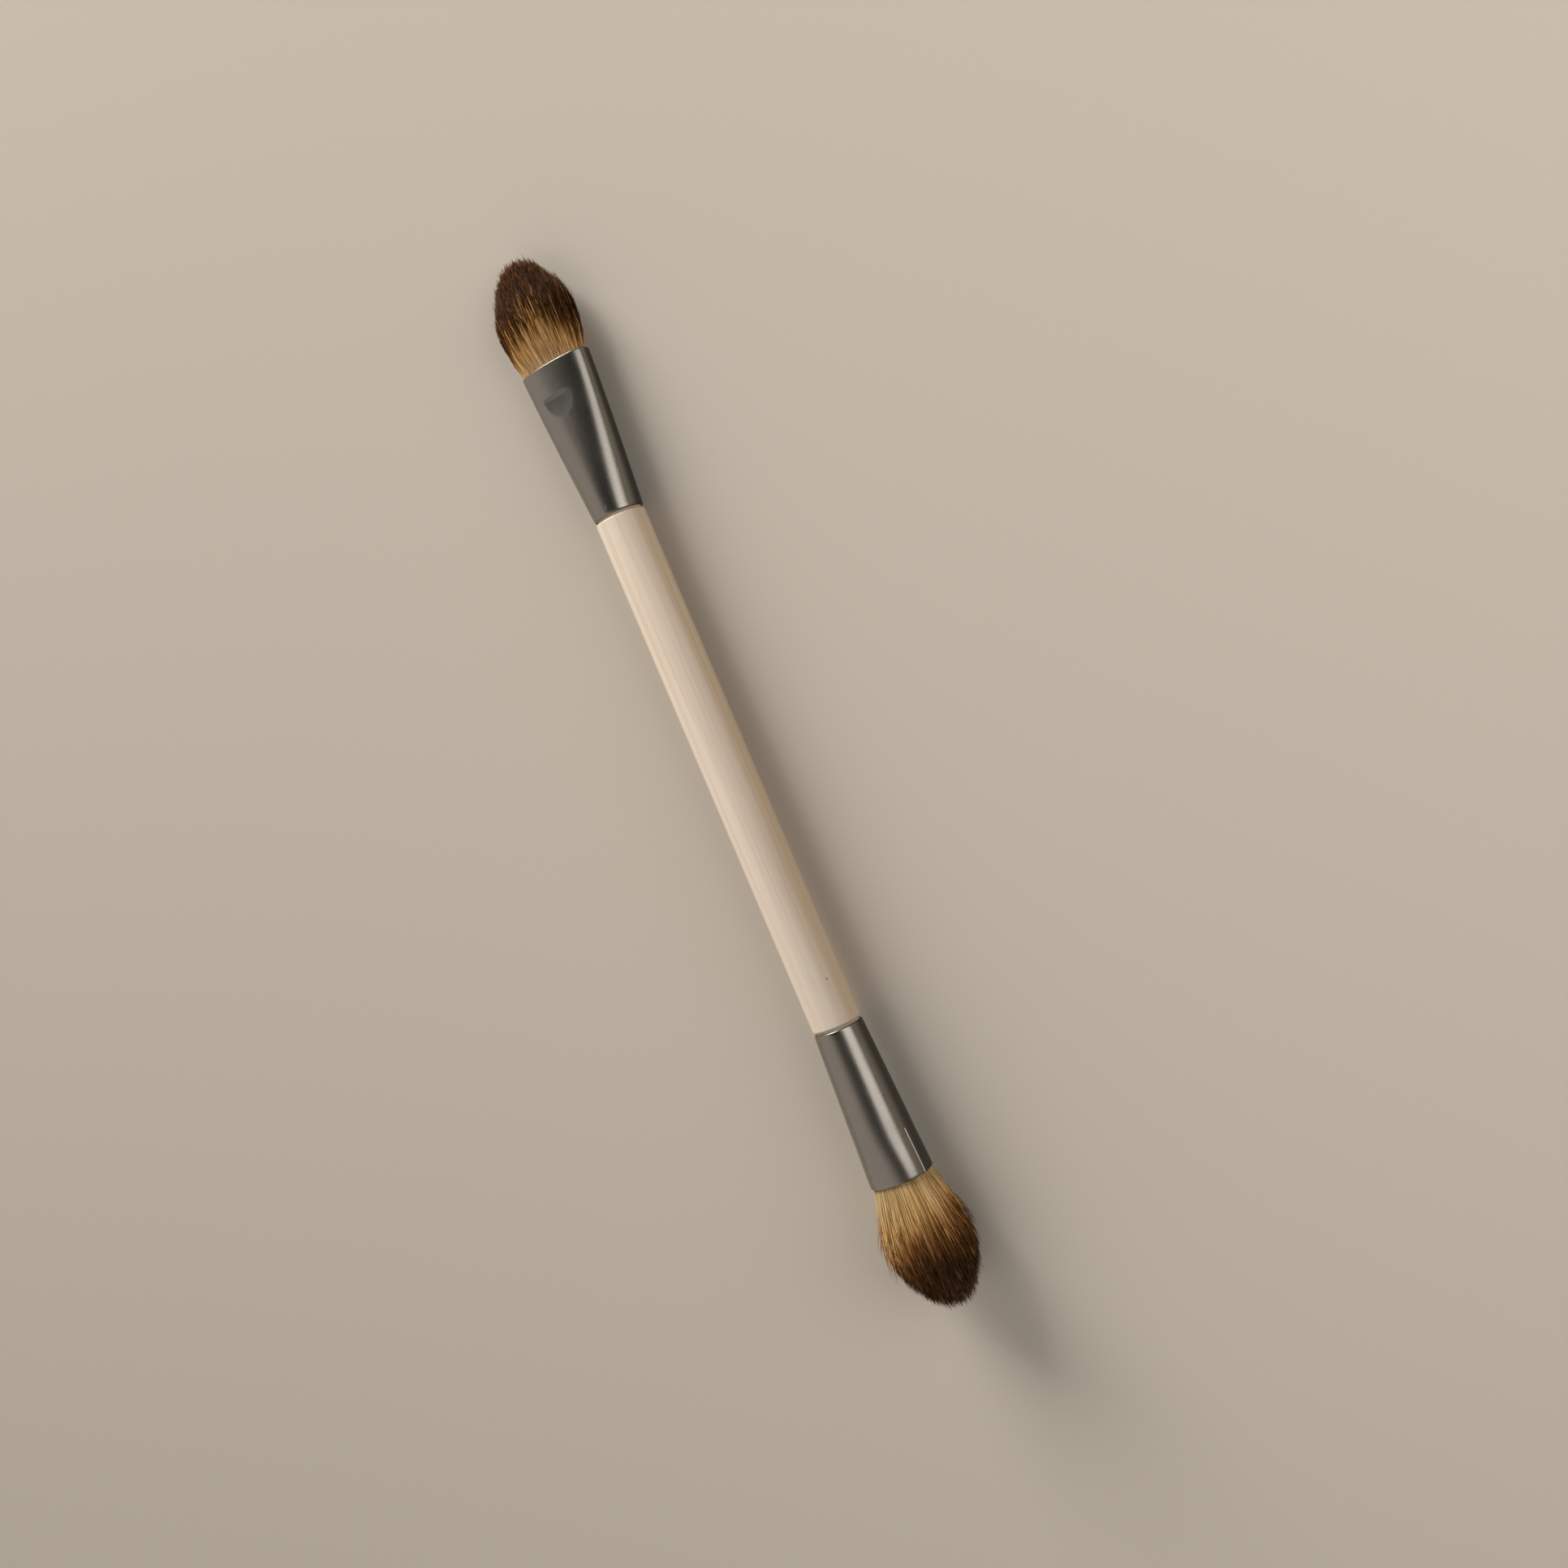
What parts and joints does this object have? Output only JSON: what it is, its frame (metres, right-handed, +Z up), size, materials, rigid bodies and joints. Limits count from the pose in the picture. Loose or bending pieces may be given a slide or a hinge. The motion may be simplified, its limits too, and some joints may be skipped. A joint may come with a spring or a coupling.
{
  "type": "double ended makeup brush",
  "caption": "Straight turned wooden handle with a flat hair tuft in a pressed metal ferrule at one end and a round domed tuft at the other.",
  "frame": {"origin": "centre of the footprint of the brush's box, on the surface that it rests on", "axes": "+X along the brush towards the flat tuft, +Y across it, +Z up out of the flat tuft's broad face; the brush's own axis leans 1.2 degrees down towards +X, because it rests on its two tufts"},
  "size_m": [0.19, 0.0161, 0.015],
  "materials": {
    "handle_wood": "matt, unlacquered",
    "ferrule_metal": "satin, dark grey",
    "brown_hair": "soft natural hair, dark brown with a golden base",
    "golden_hair": "soft natural hair, golden with a dark tip",
    "resin": "poured, amber"
  },
  "bodies": {
    "root": {"handle": "handle_wood", "flat_ferrule": "ferrule_metal", "round_ferrule": "ferrule_metal", "flat_hair": "brown_hair", "round_hair": "golden_hair", "flat_resin_plug": "resin", "round_resin_plug": "resin"}
  },
  "joints": []
}
